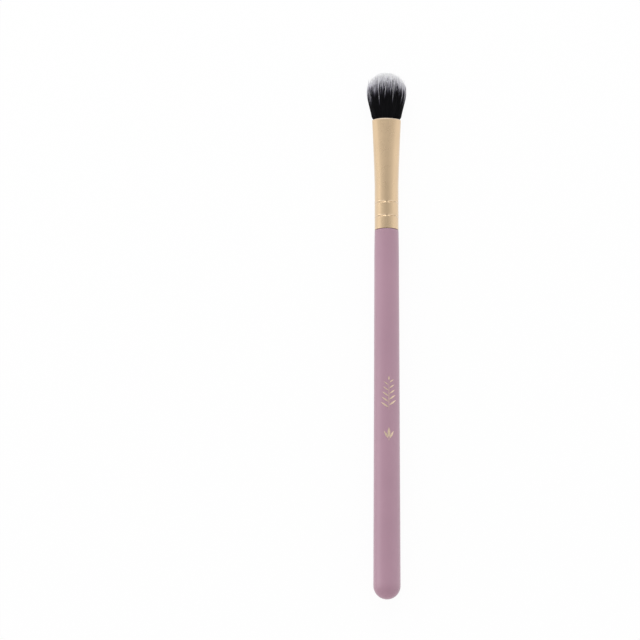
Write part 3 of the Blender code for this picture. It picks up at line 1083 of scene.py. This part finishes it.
@dataclass(frozen=True)
class Lamp:
    """A soft square lamp, turned to the brush.

    Azimuth, which turns left from +X, and elevation are in degrees. A radiance of 1 is as bright as the room.
    """

    name: str
    azimuth: float
    elevation: float
    size: float
    radiance: float
    distance: float = 0.85

    def build(self) -> None:
        """Stand the lamp in its place."""
        light = bpy.data.lights.new(self.name, "AREA")
        light.shape = "SQUARE"
        light.size = self.size
        light.energy = self.radiance * math.pi * self.size**2
        lamp = bpy.data.objects.new(self.name, light)
        azimuth, elevation = math.radians(self.azimuth), math.radians(self.elevation)
        flat, rise = self.distance * math.cos(elevation), self.distance * math.sin(elevation)
        lamp.location = (flat * math.cos(azimuth), flat * math.sin(azimuth), rise)
        lamp.rotation_euler = (0.0, math.pi / 2 - elevation, azimuth)
        bpy.context.scene.collection.objects.link(lamp)


@dataclass(frozen=True)
class Studio:
    """A white floor in a white room, soft lamps, a ceiling that is greyer over the brush, and the camera.

    The lens is in millimetres, and a grey of 1 is white. The white share is how much of the floor's white is
    its own, so that shadows on it stay faint.
    """

    camera_place: tuple[float, float, float] = (-19.85 * MM, -136.18 * MM, 688.4 * MM)
    camera_tilt: float = math.radians(11.5)
    camera_turn: float = math.radians(0.28)
    lens: float = 127.6
    lamps: tuple[Lamp, ...] = (
        Lamp("back_lamp", azimuth=95.0, elevation=24.0, size=0.70, radiance=2.00),
        Lamp("left_lamp", azimuth=186.0, elevation=13.0, size=0.45, radiance=1.30),
    )
    ceiling_height: float = 0.95
    ceiling_place: float = 0.15
    ceiling_grey: float = 0.56
    grey_reach: float = 0.25
    ceiling_reach: float = 2.2
    glow_exponent: float = 0.75
    white_share: float = 0.95
    floor_reach: float = 3.0

    def sheet(self, name: str, finish: str, reach: float, place: Row) -> NodeTree:
        """Put a flat round stage sheet in place, level with the floor.

        Args:
            name: The sheet's name.
            finish: Its material's name.
            reach: Its radius.
            place: Its middle.

        Returns:
            The material's empty node tree.
        """
        angle = angles(64)[0]
        points = reach * np.stack([np.cos(angle), np.sin(angle), 0 * angle], axis=-1)
        mesh = new_mesh(name, points, [np.arange(len(angle))[None, :]], smooth=False)
        material = bpy.data.materials.new(finish)
        material.use_nodes = True
        material.node_tree.nodes.clear()
        mesh.materials.append(material)
        sheet = bpy.data.objects.new(name, mesh)
        sheet.location = place
        bpy.context.scene.collection.objects.link(sheet)
        return NodeTree(material.node_tree)

    def floor(self) -> None:
        """White floor that keeps the brush's soft shadow and shows white to the camera and in the metal."""
        nodes = self.sheet("floor", "white_floor", self.floor_reach, (0.0, 0.0, 0.0))
        path = nodes.add("LightPath")
        seen = nodes.math("MAXIMUM", path.outputs["Is Camera Ray"], path.outputs["Is Glossy Ray"])
        seen = nodes.math("MAXIMUM", seen, path.outputs["Is Transmission Ray"])
        matt = nodes.add("BsdfDiffuse", {"Color": (0.95, 0.95, 0.95, 1.0)}).outputs[0]
        white = nodes.add("Emission", {"Color": WHITE, "Strength": 1.0}).outputs[0]
        shown = nodes.add("MixShader", {0: self.white_share, 1: matt, 2: white}).outputs[0]
        surface = nodes.add("MixShader", {0: seen, 1: matt, 2: shown}).outputs[0]
        nodes.add("OutputMaterial", {"Surface": surface})

    def ceiling(self) -> None:
        """Ceiling that glows grey over the brush and white like the room at its edge."""
        over = (0.0, self.ceiling_place, self.ceiling_height)
        nodes = self.sheet("ceiling", "grey_ceiling", self.ceiling_reach, over)
        place = nodes.add("TexCoord").outputs["Object"]
        away = nodes.add("VectorMath", {0: place}, operation="LENGTH").outputs["Value"]
        way = nodes.ranged(away, low=self.grey_reach, high=self.ceiling_reach)
        way = nodes.math("POWER", way, self.glow_exponent)
        glow = nodes.math("MULTIPLY_ADD", way, 1.0 - self.ceiling_grey, self.ceiling_grey)
        light = nodes.add("Emission", {"Color": WHITE, "Strength": glow}).outputs[0]
        nodes.add("OutputMaterial", {"Surface": light})

    def world(self) -> None:
        """A plain white room."""
        world = bpy.data.worlds.new("white_room")
        bpy.context.scene.world = world
        world.use_nodes = True
        background = world.node_tree.nodes["Background"]
        background.inputs["Color"].default_value = WHITE
        background.inputs["Strength"].default_value = 1.0

    def camera(self) -> None:
        """Stand the camera over the brush, tilted towards the tuft."""
        data = bpy.data.cameras.new("camera")
        data.lens = self.lens
        data.sensor_width = 36.0
        data.clip_start, data.clip_end = 0.01, 20.0
        camera = bpy.data.objects.new("camera", data)
        camera.location = self.camera_place
        camera.rotation_euler = (self.camera_tilt, 0.0, self.camera_turn)
        bpy.context.scene.collection.objects.link(camera)
        bpy.context.scene.camera = camera

    def build(self) -> None:
        """Build the whole studio."""
        self.floor()
        self.ceiling()
        for lamp in self.lamps:
            lamp.build()
        self.world()
        self.camera()
        bpy.context.scene.view_settings.view_transform = "Standard"
        LOG.info("studio: floor, ceiling, %d lamps and camera", len(self.lamps))


def main() -> None:
    """Build the brush and its studio."""
    logging.basicConfig(level=logging.INFO, format="%(name)s: %(message)s")
    groups = Groups(Mottle(), EdgeBand())
    handle = Handle()
    ferrule = Ferrule()
    handle.build(SatinLacquer(groups).material)
    FoilSprig(handle).build(HotFoil(groups).material)
    ferrule.build(SatinAnodising(groups).material)
    PackedKnot(ferrule).build(PackedRoots(groups).material)
    Tuft().build(TwoToneFilament(groups).material)
    InnerParts().dress(groups)
    Studio().build()


if __name__ == "__main__":
    main()
